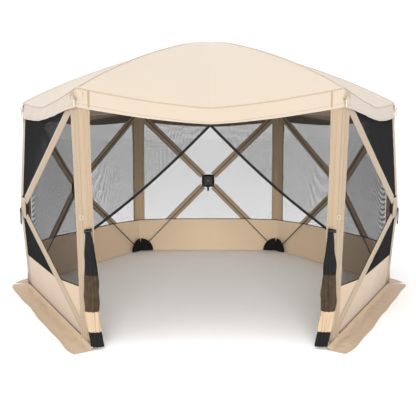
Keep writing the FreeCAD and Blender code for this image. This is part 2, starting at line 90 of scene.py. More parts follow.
def eave_corner(name):
    return radial(CORNERS[name]) * CORNER_RADIUS + UP * EAVE_HEIGHT


def base_corner(name):
    spread = DOOR_BASE_SPREAD if name.startswith("front_") else BASE_SPREAD
    return radial(CORNERS[name]) * (CORNER_RADIUS + spread) + UP * BASE_LIFT


def wall_apex(angle):
    return radial(angle) * (APOTHEM + APEX_OUT) + UP * HUB_HEIGHT


def hub_centre(angle):
    return radial(angle) * (APOTHEM + HUB_OUT) + UP * HUB_HEIGHT


# ------------------------------------------------------------------ materials
class Value:
    """One output of a node, with the arithmetic that is used on it."""

    def __init__(self, finish, socket):
        self.finish = finish
        self.socket = socket

    def math(self, operation, *others):
        return self.finish.node("ShaderNodeMath", {"operation": operation}, self, *others)

    def __add__(self, other):
        return self.math("ADD", other)

    def __sub__(self, other):
        return self.math("SUBTRACT", other)

    def __rsub__(self, other):
        return self.finish.node("ShaderNodeMath", {"operation": "SUBTRACT"}, other, self)

    def __mul__(self, other):
        return self.math("MULTIPLY", other)

    __radd__ = __add__
    __rmul__ = __mul__

    def below(self, limit):
        return self.math("LESS_THAN", limit)

    def wrapped(self, length):
        """Distance along a repeat of the given length, from 0 to 1."""
        return self.math("MULTIPLY", 1 / length).math("FRACT")


class Finish:
    """A material, its shader, and one method that adds any other node."""

    def __init__(self, name, colour, roughness, **settings):
        self.material = bpy.data.materials.new(name)
        self.material.use_nodes = True
        self.tree = self.material.node_tree
        self.shader = self.tree.nodes["Principled BSDF"]
        self.shader.inputs["Base Color"].default_value = (*colour, 1)
        self.shader.inputs["Roughness"].default_value = roughness
        for socket, value in settings.items():
            self.shader.inputs[socket.replace("_", " ")].default_value = value

    def node(self, kind, settings, *values, output=0, **named):
        made = self.tree.nodes.new(kind)
        for name, value in settings.items():
            setattr(made, name, value)
        for index, value in enumerate(values):
            self.feed(made.inputs[index], value)
        for name, value in named.items():
            self.feed(made.inputs[name.replace("_", " ")], value)
        return Value(self, made.outputs[output])

    def feed(self, socket, value):
        if isinstance(value, Value):
            self.tree.links.new(value.socket, socket)
        else:
            socket.default_value = value

    def set(self, socket, value):
        self.feed(self.shader.inputs[socket], value)

    def blend(self, amount, first, second):
        """Mix two colours."""
        made = self.tree.nodes.new("ShaderNodeMix")
        made.data_type = "RGBA"
        self.feed(made.inputs["Factor"], amount)
        self.feed(made.inputs[6], first if isinstance(first, Value) else (*first, 1))
        self.feed(made.inputs[7], second if isinstance(second, Value) else (*second, 1))
        return Value(self, made.outputs[2])

    def place(self, scale=(1, 1, 1)):
        where = self.node("ShaderNodeTexCoord", {}, output="Object")
        return self.node("ShaderNodeMapping", {}, where, Scale=scale)

    def cloud(self, size, detail=3.0, where=None, rough=0.5):
        where = where or self.node("ShaderNodeTexCoord", {}, output="Object")
        return self.node("ShaderNodeTexNoise", {}, where, Scale=1 / size, Detail=detail, Roughness=rough)

    def uv(self, axis):
        where = self.node("ShaderNodeTexCoord", {}, output="UV")
        return self.node("ShaderNodeSeparateXYZ", {}, where, output=axis)

    def bump(self, height, distance, strength=1.0):
        self.set("Normal", self.node("ShaderNodeBump", {}, Strength=strength, Distance=distance,
                                     Height=height))


def weave(finish, thread):
    """Height of a plain weave: over and under threads along the two directions of the cloth."""
    across = finish.uv("X") * (2 * math.pi / thread)
    along = finish.uv("Y") * (2 * math.pi / thread)
    return across.math("SINE") * along.math("SINE")


def woven_cloth(name, colour, shade, thread=0.0016, roughness=0.78, stitches=False, hem=None):
    """Woven polyester: weave, faint mottling, soft creases; strips have stitches, flaps a turned hem."""
    finish = Finish(name, colour, roughness, Sheen_Weight=0.25, Sheen_Roughness=0.5, Specular_IOR_Level=0.35)
    mottle = finish.cloud(0.55, 4.0)
    fine = finish.cloud(0.012, 2.0)
    tone = finish.blend(mottle, colour, shade)
    tone = finish.blend(fine * 0.16, tone, tuple(c * 0.78 for c in colour))
    height = weave(finish, thread) * 0.12 + finish.cloud(0.09, 5.0, rough=0.6) * 1.0
    if stitches:
        row = finish.uv("X").math("ABSOLUTE")
        near_edge = (row - (STRIP_WIDTH / 2 - 0.007)).math("ABSOLUTE").below(0.0011)
        dash = finish.uv("Y").wrapped(0.0065).below(0.62)
        seam = near_edge * dash
        tone = finish.blend(seam * 0.75, tone, tuple(min(1, c * 0.55) for c in colour))
        height = height - seam * 0.5
        middle = row.below(0.0022)
        tone = finish.blend(middle * 0.55, tone, tuple(c * 0.45 for c in colour))
        height = height - middle * 0.6
    if hem:
        fold = (finish.uv("Y") - hem).math("ABSOLUTE").below(0.0016)
        tone = finish.blend(fold * 0.5, tone, tuple(c * 0.5 for c in colour))
        height = height - fold * 0.6
    finish.set("Base Color", tone)
    finish.set("Roughness", fine * 0.14 + (roughness - 0.07))
    finish.bump(height, 0.0035, 0.55)
    return finish.material


def dark_cloth(name, colour, lighter, thread=0.002):
    """Black trim, or black netting with tan cloth showing through it."""
    finish = Finish(name, colour, 0.85, Sheen_Weight=0.04, Specular_IOR_Level=0.12)
    finish.set("Base Color", finish.blend(finish.cloud(0.035, 5.0), colour, lighter))
    finish.bump(weave(finish, thread) * 0.4 + finish.cloud(0.03, 3.0), 0.002, 0.5)
    return finish.material


def net_thread(name):
    finish = Finish(name, (0.010, 0.010, 0.010), 0.7, Specular_IOR_Level=0.1)
    finish.set("Base Color", finish.blend(finish.cloud(0.2), (0.007, 0.007, 0.007), (0.015, 0.015, 0.015)))
    return finish.material


def moulded(name, colour, roughness=0.42, grain=0.0012):
    """Injection-moulded plastic with a fine spark grain and slightly polished high spots."""
    finish = Finish(name, colour, roughness, Specular_IOR_Level=0.5)
    fine = finish.cloud(grain, 2.0)
    broad = finish.cloud(0.03, 3.0)
    finish.set("Base Color", finish.blend(broad * 0.4, colour, tuple(min(1, c * 1.5 + 0.01) for c in colour)))
    finish.set("Roughness", broad * 0.16 + (roughness - 0.05))
    finish.bump(fine, 0.0003, 0.5)
    return finish.material


def fibreglass(name):
    """Pultruded rod: glossy black with faint streaks along its length."""
    finish = Finish(name, (0.015, 0.015, 0.016), 0.3, Coat_Roughness=0.15)
    streak = finish.cloud(0.01, 3.0, where=finish.place((1, 1, 0.15)))
    finish.set("Base Color", finish.blend(streak * 0.5, (0.012, 0.012, 0.013), (0.045, 0.044, 0.042)))
    finish.set("Roughness", streak * 0.2 + 0.24)
    finish.bump(streak, 0.0004, 0.3)
    return finish.material


def plated_steel(name):
    finish = Finish(name, (0.55, 0.55, 0.56), 0.32, Metallic=1.0)
    grain = finish.cloud(0.004, 4.0)
    finish.set("Base Color", finish.blend(grain, (0.42, 0.42, 0.43), (0.66, 0.66, 0.67)))
    finish.set("Roughness", grain * 0.2 + 0.24)
    return finish.material


ROOF = woven_cloth("roof_cloth", (0.430, 0.359, 0.288), (0.408, 0.340, 0.270))
# painted light: the roof's inner face is a lighter copy of the roof cloth, standing in for daylight shining
# through the fabric
ROOF_INSIDE_PAINTED_LIGHT = woven_cloth("roof_inside_painted_light", (0.620, 0.510, 0.400), (0.590, 0.480, 0.372))
BINDING = woven_cloth("eave_binding", (0.330, 0.262, 0.195), (0.305, 0.240, 0.176))
VALANCE = woven_cloth("valance_cloth", (0.405, 0.336, 0.268), (0.384, 0.316, 0.250), hem=0.100)
STRIP = woven_cloth("strip_cloth", (0.330, 0.248, 0.168), (0.302, 0.225, 0.150), stitches=True)
# painted light: the strips' inner face is a much lighter copy of the strip cloth, brightening their shaded
# inside
STRIP_INSIDE_PAINTED_LIGHT = woven_cloth("strip_inside_painted_light", (0.480, 0.362, 0.232), (0.420, 0.312, 0.196), stitches=True)
# painted light: the band's inner face is a much lighter copy of the outside band cloth, brightening the
# shaded inside of the tent
BAND_INSIDE_PAINTED_LIGHT = woven_cloth("band_cloth", (0.720, 0.560, 0.395), (0.685, 0.528, 0.368))
BAND_OUTSIDE = woven_cloth("band_outside", (0.450, 0.335, 0.225), (0.420, 0.308, 0.203))
FLAP = woven_cloth("flap_cloth", (0.455, 0.325, 0.203), (0.422, 0.298, 0.184), hem=0.150)
BLACK = dark_cloth("black_cloth", (0.006, 0.006, 0.006), (0.014, 0.014, 0.014))
NET_OVER_TAN = dark_cloth("net_over_tan", (0.020, 0.013, 0.008), (0.085, 0.058, 0.034))
NET = net_thread("net_thread")
POLE = fibreglass("pole_rod")
HUB = moulded("hub_plastic", (0.006, 0.006, 0.006), 0.55)
IVORY = moulded("ivory_plastic", (0.46, 0.38, 0.26), 0.42)
STEEL = plated_steel("plated_steel")


# ------------------------------------------------------------------ mesh making
def add_object(name, vertices, faces, materials, uvs=None, face_materials=None, smooth=True):
    mesh = bpy.data.meshes.new(name)
    mesh.from_pydata([tuple(v) for v in vertices], [], faces)
    for material in materials:
        mesh.materials.append(material)
    if uvs is not None:
        layer = mesh.uv_layers.new(name="UVMap")
        for loop in mesh.loops:
            layer.data[loop.index].uv = uvs[loop.vertex_index]
    if face_materials is not None:
        for polygon, index in zip(mesh.polygons, face_materials):
            polygon.material_index = index
    for polygon in mesh.polygons:
        polygon.use_smooth = smooth
    mesh.update()
    made = bpy.data.objects.new(name, mesh)
    bpy.context.collection.objects.link(made)
    return made


class Cloth:
    """Cloth built from rows of points; every patch keeps its own flat area and its own UVs in metres."""

    def __init__(self, name, materials):
        self.name, self.materials = name, materials
        self.vertices, self.uvs, self.faces, self.kinds = [], [], [], []
        self.area = 0.0

    def grid(self, rows, flat_area, uv_rows=None, kind=0, flip=False):
        start = len(self.vertices)
        count = len(rows[0])
        for r, row in enumerate(rows):
            for c, point in enumerate(row):
                self.vertices.append(point)
                self.uvs.append(uv_rows[r][c] if uv_rows else (c * 0.03, r * 0.03))
        for r in range(len(rows) - 1):
            for c in range(count - 1):
                a = start + r * count + c
                loop = [a, a + 1, a + count + 1, a + count]
                self.faces.append(loop[::-1] if flip else loop)
                self.kinds.append(kind)
        self.area += flat_area

    def patch(self, corners, nu, nv, shape=None, kind=0, lift=0.0):
        """A flat four-cornered patch, moved off its plane by shape(point, u, v)."""
        a, b, c, d = corners
        normal = (c - a).cross(d - b).normalized()
        wide = max((b - a).length, (c - d).length)
        tall = max((d - a).length, (c - b).length)
        rows, uvs = [], []
        for j in range(nv + 1):
            v = j / nv
            row, uv = [], []
            for i in range(nu + 1):
                u = i / nu
                flat = a.lerp(b, u).lerp(d.lerp(c, u), v)
                off = lift + (shape(flat, u, v) if shape else 0.0)
                row.append(flat + normal * off)
                uv.append(((u - 0.5) * wide, v * tall))
            rows.append(row)
            uvs.append(uv)
        area = ((b - a).cross(d - a).length + (b - c).cross(d - c).length) / 2
        self.grid(rows, area, uvs, kind)

    def make(self, flat, body, node, squash=None, thickness=CLOTH, inner=0):
        made = add_object(self.name, self.vertices, self.faces, self.materials, self.uvs, self.kinds)
        weld(made)
        if thickness:
            solid = made.modifiers.new("thickness", "SOLIDIFY")
            solid.thickness = thickness
            solid.offset = 0
            solid.material_offset = inner
            apply(made, solid)
            bpy.ops.object.shade_smooth_by_angle(angle=math.radians(40))
        ride(made, body, node, squash)
        min(self.area, flat[0] * flat[1])
        return made


def ride(made, body, node, squash=None):
    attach(made, body)
    if node:
        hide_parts(node)
    if squash:
        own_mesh(made)


def apply(made, modifier):
    bpy.ops.object.select_all(action="DESELECT")
    made.select_set(True)
    bpy.context.view_layer.objects.active = made
    bpy.ops.object.modifier_apply(modifier=modifier.name)


def weld(made, distance=0.0004):
    work = bmesh.new()
    work.from_mesh(made.data)
    bmesh.ops.remove_doubles(work, verts=work.verts, dist=distance)
    work.to_mesh(made.data)
    work.free()


# ------------------------------------------------------------------ outlines of the netting
def clip(points, at, facing):
    """Keep the part of a convex outline on the side that facing points to."""
    kept = []
    for i, here in enumerate(points):
        after = points[(i + 1) % len(points)]
        depth = (here - at).dot(facing)
        next_depth = (after - at).dot(facing)
        if depth >= 0:
            kept.append(here)
        if depth * next_depth < 0:
            kept.append(here.lerp(after, depth / (depth - next_depth)))
    return kept if len(kept) > 2 else []


def wall_facets(angle):
    first, second = side_corners(angle)
    top_a, top_b = eave_corner(first), eave_corner(second)
    low_a, low_b = base_corner(first), base_corner(second)
    apex = wall_apex(angle)
    return {"top": [top_a, apex, top_b], "first": [low_a, apex, top_a],
            "bottom": [low_b, apex, low_a], "second": [top_b, apex, low_b]}


def face_normal(points):
    return (points[1] - points[0]).cross(points[2] - points[0]).normalized()


def outline_area(points):
    total = Vector((0, 0, 0))
    for i in range(1, len(points) - 1):
        total += (points[i] - points[0]).cross(points[i + 1] - points[0])
    return total.length / 2


def threads(outline, pitch, width, vertices, faces, lift):
    """Net threads in one flat outline: thin three-sided prisms along both directions of the net."""
    normal = face_normal(outline)
    level = UP.cross(normal).normalized()
    steep = normal.cross(level)
    origin = outline[0]
    for across in (steep, level):
        heights = [(p - origin).dot(across) for p in outline]
        step = math.ceil(min(heights) / pitch + 0.01)
        while step * pitch < max(heights):
            at = step * pitch
            cuts = []
            for i, here in enumerate(outline):
                after = outline[(i + 1) % len(outline)]
                h0, h1 = heights[i] - at, heights[(i + 1) % len(outline)] - at
                if (h0 < 0) != (h1 < 0):
                    cuts.append(here.lerp(after, h0 / (h0 - h1)))
            if len(cuts) == 2:
                add_thread(cuts[0], cuts[1], across, normal, width, vertices, faces, lift)
            step += 1


def add_thread(start, end, across, normal, width, vertices, faces, lift):
    base = len(vertices)
    for end_point in (start, end):
        middle = end_point + normal * lift
        vertices.append(middle - across * (width / 2))
        vertices.append(middle + across * (width / 2))
        vertices.append(middle + normal * (width * 0.87))
    for k in range(3):
        n = (k + 1) % 3
        faces.append((base + k, base + n, base + 3 + n, base + 3 + k))


def netting(name, outlines, body, node, squash, lift=NET_LIFT):
    vertices, faces = [], []
    for outline in outlines:
        threads(outline, NET_PITCH, NET_PITCH * NET_COVER, vertices, faces, lift)
    made = add_object(name, vertices, faces, [NET], smooth=False)
    ride(made, body, node, squash)
    sum(outline_area(o) for o in outlines)
    return made


# ------------------------------------------------------------------ quarters of a wall, one per pole
QUARTERS = {"upper_left": (-1, 1), "upper_right": (1, 1), "lower_left": (-1, -1), "lower_right": (1, -1)}


def quarter_corner(angle, quarter):
    hand, level = QUARTERS[quarter]
    name = side_corners(angle)[0 if hand < 0 else 1]
    return eave_corner(name) if level > 0 else base_corner(name)


def gather(angle, quarter, keep=0.03):
    """How cloth beside a pole bunches up on it: flat across the pole, in the plane of the wall."""
    corner = quarter_corner(angle, quarter)
    centre = hub_centre(angle)
    out = radial(angle)
    along = corner - centre
    along -= out * along.dot(out)
    return out.cross(along).normalized(), centre, keep


def under_eave(outline, angle, hand):
    out, side = radial(angle), tangent(angle)
    corner = out * APOTHEM + side * (hand * HALF_SIDE) + UP * EAVE_HEIGHT
    middle = out * APOTHEM + UP * (EAVE_HEIGHT - EAVE_SAG)
    return clip(outline, middle, out.cross(middle - corner) * hand)


def inside_strips(piece, facet, has_upright):
    """Trim an outline of netting back to the strips that it is sewn to."""
    a, apex, b = facet
    middle = (a + apex + b) / 3
    edges = [(apex, a, STRIP_WIDTH / 2), (apex, b, STRIP_WIDTH / 2)]
    if has_upright:
        edges.append((a, b, CORNER_STRIP_WIDTH))
    for start, end, width in edges:
        along = (end - start).normalized()
        inward = middle - start
        inward -= along * inward.dot(along)
        inward.normalize()
        piece = clip(piece, start + inward * (width - NET_TUCK), inward) if piece else []
    return piece


def build_net_wall(wall, angle):
    """One netting wall in quarters, each with its crossed strip, and below them band, flap and patch."""
    side = tangent(angle)
    facets = wall_facets(angle)
    apex = wall_apex(angle)
    for quarter, (hand, level) in QUARTERS.items():
        outlines = []
        for which, facet in facets.items():
            middle = (facet[0] + facet[1] + facet[2]) / 3
            away = (middle - apex).normalized()
            piece = clip(facet, apex + away * HUB_PATCH * 0.55, away)
            piece = clip(piece, Vector((0, 0, BAND_HEIGHT)), UP)
            piece = clip(piece, Vector((0, 0, 0)), side * hand) if piece else []
            piece = clip(piece, Vector((0, 0, HUB_HEIGHT)), UP * level) if piece else []
            piece = under_eave(piece, angle, hand) if piece and level > 0 else piece
            piece = inside_strips(piece, facet, which in ("first", "second"))
            if piece and outline_area(piece) > 1e-4:
                outlines.append(piece)
        body = "pole_%s_%s" % (wall, quarter)
        netting("net_%s_%s" % (wall, quarter), outlines,
                body,
                "wall_net_" + wall, gather(angle, quarter))
        build_cross_strip(wall, angle, quarter, body)
        if level < 0:
            build_band(wall, angle, quarter, hand, body)
            build_flap(wall, angle, quarter, hand, body)
            build_corner_patch(wall, angle, quarter, hand, body)


def build_cross_strip(wall, angle, quarter, body):
    """The sewn strip over one pole, folded along the crease between two facets."""
    corner, apex = quarter_corner(angle, quarter), wall_apex(angle)
    along = (corner - apex).normalized()
    out = radial(angle)
    start = apex + along * (HUB_PATCH * 0.86)
    end = corner - along * 0.03
    length = (end - start).length
    across = along.cross(out).normalized()
    lift = across.cross(along).normalized()
    if lift.dot(out) < 0:
        lift = -lift
    strip = Cloth("strip_%s_%s" % (wall, quarter), [STRIP, STRIP_INSIDE_PAINTED_LIGHT])
    steps, half = 64, 4
    rows, uvs = [], []
    slope = facet_slope(angle, across, along)
    for j in range(steps + 1):
        v = j / steps
        row, uv = [], []
        for i in range(-half, half + 1):
            x = i / half * STRIP_WIDTH / 2
            pucker = noise.noise(Vector((v * 14, i * 0.5, angle * 0.1))) * 0.0016
            edge = abs(i) / half
            ridge = 0.0035 * (1 - edge) ** 2
            point = start + along * (length * v) + across * x
            point += lift * (STRIP_LIFT - abs(x) * slope + ridge + pucker)
            point.z = max(point.z, GROUND_CLEAR)
            row.append(point)
            uv.append((x, v * length))
        rows.append(row)
        uvs.append(uv)
    strip.grid(rows, STRIP_WIDTH * length, uvs, flip=across.cross(along).dot(out) < 0)
    strip.make((STRIP_WIDTH, length), body,
               "cross_strips", inner=1)


def facet_slope(angle, across, along):
    """How fast the two facets fall away on each side of their shared crease."""
    facets = wall_facets(angle)
    normal = face_normal(facets["top"])
    lift = across.cross(along)
    return abs(normal.dot(across) / normal.dot(lift))


def build_band(wall, angle, quarter, hand, body):
    """The tan band along the ground, with black piping where the netting is sewn to it."""
    first, second = side_corners(angle)
    corner = base_corner(first if hand < 0 else second)
    other = base_corner(second if hand < 0 else first)
    top = eave_corner(first if hand < 0 else second)
    apex = wall_apex(angle)
    middle = corner.lerp(other, 0.5)

    def rise(low, high):
        share = (BAND_HEIGHT - low.z) / (high.z - low.z)
        return low.lerp(high, share)

    crease, edge, centre_top = rise(corner, apex), rise(corner, top), rise(middle, apex)

    def ripple(point, u, v):
        fade = min(1, 4 * v, 4 * (1.0001 - v)) if v < 1 else 0
        return noise.noise(point * 6 + Vector((0, 0, 3))) * 0.005 * max(fade, 0)

    band = Cloth("band_%s_%s" % (wall, quarter), [BAND_OUTSIDE, BLACK, BAND_INSIDE_PAINTED_LIGHT, BLACK])
    lower = [corner, middle, centre_top, crease] if hand < 0 else [middle, corner, crease, centre_top]
    band.patch(lower, 26, 12, ripple)
    if hand < 0:
        band.patch([corner, crease, edge, corner.lerp(edge, 0.001)], 10, 12, None)
    else:
        band.patch([crease, corner, corner.lerp(edge, 0.001), edge], 10, 12, None)
    piping = 0.007
    for a, b in ((crease, centre_top), (edge, crease)):
        a, b = (a, b) if hand < 0 else (b, a)
        band.patch([a - UP * 0.002, b - UP * 0.002, b + UP * piping, a + UP * piping], 8, 1,
                   kind=1, lift=-0.0015)
    band.make((HALF_SIDE + 0.05, BAND_HEIGHT + 0.02), body,
              "lower_band", gather(angle, quarter), inner=2)


def build_flap(wall, angle, quarter, hand, body):
    """Cloth on the ground outside the wall, with a rolled seam at the wall and a few soft folds."""
    first, second = side_corners(angle)
    name = first if hand < 0 else second
    other = second if hand < 0 else first
    corner, far = base_corner(name), base_corner(other)
    along = (corner - far).normalized()
    out = radial(angle)
    ground = Vector((1, 1, 0))
    beside_door = name.startswith("front_")
    inner_run = FLAP_OVERHANG if beside_door else 0.0
    outer_run = FLAP_OVERHANG if beside_door else FLAP_MITRE
    middle = corner.lerp(far, 0.5) * ground + out * 0.010
    middle.z = 0
    start = corner * ground + out * 0.010
    start.z = 0
    inner_end = start + along * inner_run
    outer_end = start + along * outer_run
    steps, rings = 44, 12
    rows, uvs = [], []
    for j in range(rings + 1):
        v = j / rings
        row, uv = [], []
        for i in range(steps + 1):
            u = i / steps
            line = middle.lerp(inner_end, u).lerp(middle.lerp(outer_end, u), v)
            rounding = 1 - 0.16 * max(0, (u - 0.86) / 0.14) ** 2
            reach = FLAP_WIDTH * v * rounding
            wave = noise.noise(Vector((u * 3.5 + angle, v * 1.2, hand * 2.0)))
            fold = noise.noise(Vector((u * 9 + angle * 0.7, v * 2.5, 4.0 + hand)))
            height = 0.0022 + 0.016 * abs(fold) * math.sin(math.pi * min(1, v * 1.15 + 0.08))
            height += 0.020 * math.exp(-((v - 0.09) / 0.07) ** 2)
            point = line + out * (reach + wave * 0.012 * v - (0.008 if v == 0 else 0))
            point.z = height
            row.append(point)
            uv.append((u * HALF_SIDE, v * FLAP_WIDTH))
        rows.append(row)
        uvs.append(uv)
    flap = Cloth("flap_%s_%s" % (wall, quarter), [FLAP])
    length = (middle - inner_end).length
    flap.grid(rows, length * FLAP_WIDTH, uvs, flip=hand < 0)
    side = tangent(angle)
    flap.make((FLAP_WIDTH * 1.02, length * 1.02), body,
              "ground_flap",
              (side, corner, 0.04))


def build_corner_patch(wall, angle, quarter, hand, body):
    """Half of a black half-round patch that covers the pole's end at the ground."""
    first, second = side_corners(angle)
    name = first if hand < 0 else second
    corner = base_corner(name)
    out, inward = radial(angle), tangent(angle) * -hand
    depth, radius = 0.046, 0.155
    centre = corner - out * depth + inward * (depth * math.tan(math.pi / 6)) + UP * 0.004
    patch = Cloth("patch_%s_%s" % (wall, quarter), [BLACK])
    rows, uvs = [], []
    rings, steps = 6, 14
    for j in range(rings + 1):
        reach = radius * j / rings
        row, uv = [], []
        for i in range(steps + 1):
            turn = math.pi / 2 * i / steps
            belly = 0.010 * math.sin(math.pi * j / rings)
            point = centre + inward * (reach * math.cos(turn)) + UP * (reach * math.sin(turn))
            row.append(point + out * (0.020 * (j / rings) ** 2 - belly))
            uv.append((reach * math.cos(turn), reach * math.sin(turn)))
        rows.append(row)
        uvs.append(uv)
    patch.grid(rows, math.pi * radius * radius / 4, uvs, flip=hand > 0)
    patch.make((radius, radius), body, "corner_patches",
               gather(angle, quarter, 0.12))


# ------------------------------------------------------------------ roof
def wall_bulge(angle, along, height):
    """How far the wall stands out under the eave, at a distance along it from the corner."""
    if angle == DOOR:
        return -EAVE_TUCK
    return WALL_LEAN * max(0.0, min(EAVE_HEIGHT - height, along))


def hip_point(name, v):
    """The roof's hip over a pole, from the peak at v = 0 to the eave at v = 1."""
    reach = CORNER_RADIUS + VALANCE_LIFT + 0.004
    return roof_line(reach, EAVE_HEIGHT + ROOF_LIFT, v, radial(CORNERS[name]))


def gore_point(angle, v):
    """The middle line of a gore, from the peak down to the lowest point of its sagging eave."""
    sag, reach = EAVE_SAG, APOTHEM - EAVE_TUCK
    if angle != DOOR:
        sag, reach = WALL_EAVE_SAG, APOTHEM + WALL_LEAN * WALL_EAVE_SAG + VALANCE_LIFT
    return roof_line(reach, EAVE_HEIGHT - sag + ROOF_LIFT, v, radial(angle))


DOME_SHARE, DOME_POWER, EAVE_POWER, EAVE_POINT = 0.92, 1.3, 5, 0.45


def roof_line(reach, eave, v, way):
    """A bent pole's line: level and round at the peak, and steepest just above the eave."""
    fall = DOME_SHARE * v ** DOME_POWER + (1 - DOME_SHARE) * v ** EAVE_POWER
    return way * (reach * v) + UP * (PEAK_HEIGHT - (PEAK_HEIGHT - eave) * fall)


def eave_blend(u, v):
    """How far the cloth between hip and middle has sagged: smooth up the roof, a soft V at the eave."""
    point = EAVE_POINT * v ** 6
    return point * u + (1 - point) * math.sin(u * math.pi / 2)


def roof_point(angle, hand, u, v):
    name = side_corners(angle)[0 if hand < 0 else 1]
    hip, middle = hip_point(name, v), gore_point(angle, v)
    point = hip.lerp(middle, u)
    point.z = hip.z + (middle.z - hip.z) * eave_blend(u, v)
    crease = noise.noise(Vector((point.x * 2.2, point.y * 2.2, 1.7))) * 0.006
    pull = math.sin(u * 17 + v * 3) * 0.0035 * (1 - u) * max(0, v - 0.55) * 2
    calm = min(1, 6 * u, 6 * v) * (1 if v < 1 else 0.3)
    point.z += (crease + pull) * calm * min(1, (1 - u) * 5)
    return point


def build_half_roof(side_name, angle, hand):
    """Half a gore, from a hip to its middle line, and the half valance under it."""
    name = side_corners(angle)[0 if hand < 0 else 1]
    label = "%s_%s" % (side_name, "left" if hand < 0 else "right")
    canopy = Cloth("canopy_" + label, [ROOF, ROOF_INSIDE_PAINTED_LIGHT])
    rows, uvs = [], []
    for j in range(45):
        v = (j + 0.02) / 44.02
        rows.append([roof_point(angle, hand, i / 24, v) for i in range(25)])
        uvs.append([(i / 24 * HALF_SIDE * v, v * 1.8) for i in range(25)])
    area = HALF_SIDE * 1.66 / 2
    canopy.grid(rows, area, uvs, flip=hand < 0)
    bunch = (tangent(CORNERS[name]), (0, 0, 0), 0.06)
    canopy.make((HALF_SIDE + 0.02, 1.86),
                "roof_pole_" + name, "canopy", bunch, inner=1)
    build_valance(label, angle, hand, name, bunch)


VALANCE_TALL, VALANCE_TAPER, BINDING_SHARE, HEM_START = 0.128, 0.020, 0.07, 0.93


def build_valance(label, angle, hand, name, bunch):
    """The short skirt under the eave, with a hem and loose waves."""
    out = radial(angle)
    loose = 0.25 if angle == DOOR else 1.0
    steps, rings = 40, 8
    rows, uvs = [], []
    for j in range(rings + 1):
        w = BINDING_SHARE * j if j < 2 else BINDING_SHARE + 0.93 * (j - 1) / (rings - 1)
        row, uv = [], []
        for i in range(steps + 1):
            u = i / steps
            top = roof_point(angle, hand, u, 1.0)
            tall = VALANCE_TALL - VALANCE_TAPER * u
            wave = noise.noise(Vector((u * 4.5 * hand + angle, 0.4, 0.0))) * 0.022
            wave += noise.noise(Vector((u * 11 * hand + angle, 1.4, 0.0))) * 0.006
            calm = min(1, 5 * u)
            lip = 0.004 if w > HEM_START else 0.0
            drop = tall * w
            hang = abs(wave) * loose * w * calm * min(1, 5 * (1.02 - u)) + lip
            point = top - UP * (drop + 0.001)
            wall = APOTHEM + wall_bulge(angle, u * HALF_SIDE, point.z) + VALANCE_LIFT
            row.append(point + out * (max(wall - point.dot(out), -0.002) + hang))
            uv.append((u * HALF_SIDE, drop))
        rows.append(row)
        uvs.append(uv)
    valance = Cloth("valance_" + label, [VALANCE, BINDING])
    valance.grid(rows[:2], HALF_SIDE * 0.016, uvs[:2], kind=1, flip=hand < 0)
    valance.grid(rows[1:], HALF_SIDE * 0.102, uvs[1:], flip=hand < 0)
    valance.make((HALF_SIDE + 0.02, 0.13), "roof_pole_" + name, "valance", bunch)


def build_roof_seam(name, angle):
    """The bound seam along a hip, from the crown to the eave corner."""
    seam = Cloth("canopy_seam_" + name, [ROOF])
    side = tangent(angle)
    rows, uvs = [], []
    wide = 0.022
    for j in range(41):
        v = 0.06 + 0.935 * j / 40
        middle = hip_point(name, v)
        row = [middle + side * (wide / 2 * k) + UP * (0.0022 - abs(k) * 0.0035)
               for k in (-1, -0.5, 0, 0.5, 1)]
        rows.append(row)
        uvs.append([(k * wide / 2 + 0.032, v * 1.8) for k in (-1, -0.5, 0, 0.5, 1)])
    seam.grid(rows, wide * 1.72, uvs, flip=True)
    seam.make((wide, 1.72), "roof_pole_" + name, None)


# ------------------------------------------------------------------ upright strips at the corners
def build_corner_strip(name, angle):
    """Two tan strips that meet in a seam at the corner, with long soft tension folds."""
    low, top = base_corner(name), eave_corner(name)
    strip = Cloth("corner_strip_" + name, [STRIP, STRIP_INSIDE_PAINTED_LIGHT])
    facing = radial(angle)
    steps, half = 60, 12
    rows, uvs = [], []
    ways = corner_ways(name, angle)
    for j in range(steps + 1):
        v = j / steps
        middle = low.lerp(top, 0.002 + v * 0.993)
        row, uv = [], []
        for i in range(-half, half + 1):
            share = abs(i) / half
            way = ways[0 if i < 0 else 1]
            flare = 1 + 0.10 * max(0, v - 0.75) * 4 + 0.08 * max(0, 0.15 - v) * 6
            x = share * CORNER_STRIP_WIDTH * flare
            groove = -0.004 * math.exp(-(share / 0.10) ** 2)
            folds = 0.0060 * math.sin(share * 15 + 2.0 * noise.noise(Vector((v * 2.3, angle, 0)))) * share
            pucker = noise.noise(Vector((v * 16, share * 3, angle + (i > 0)))) * 0.0022
            point = middle + way * x + facing * (CORNER_LIFT + 0.004 + groove + folds + pucker)
            row.append(point)
            uv.append((0.044 - x if share > 0.5 else x, v * 1.75))
        rows.append(row)
        uvs.append(uv)
    strip.grid(rows, 2 * CORNER_STRIP_WIDTH * 1.05 * 1.75, uvs, flip=False)
    bunch = (facing, (0, 0, 0), POST_KEEP)
    strip.make((2 * CORNER_STRIP_WIDTH * 1.05, 1.76), "shell",
               "corner_strips", bunch,
               inner=1)


def corner_ways(name, angle):
    """Directions from a corner into its two walls, clockwise side first."""
    ways = []
    for turn, hand in ((angle - 30, 1), (angle + 30, -1)):
        side = turn % 360
        way = tangent(side) * -hand
        if side != DOOR:
            apex = wall_apex(side)
            flat = apex - eave_corner(name)
            flat -= UP * flat.z
            way = flat.normalized()
        ways.append(way)
    return ways


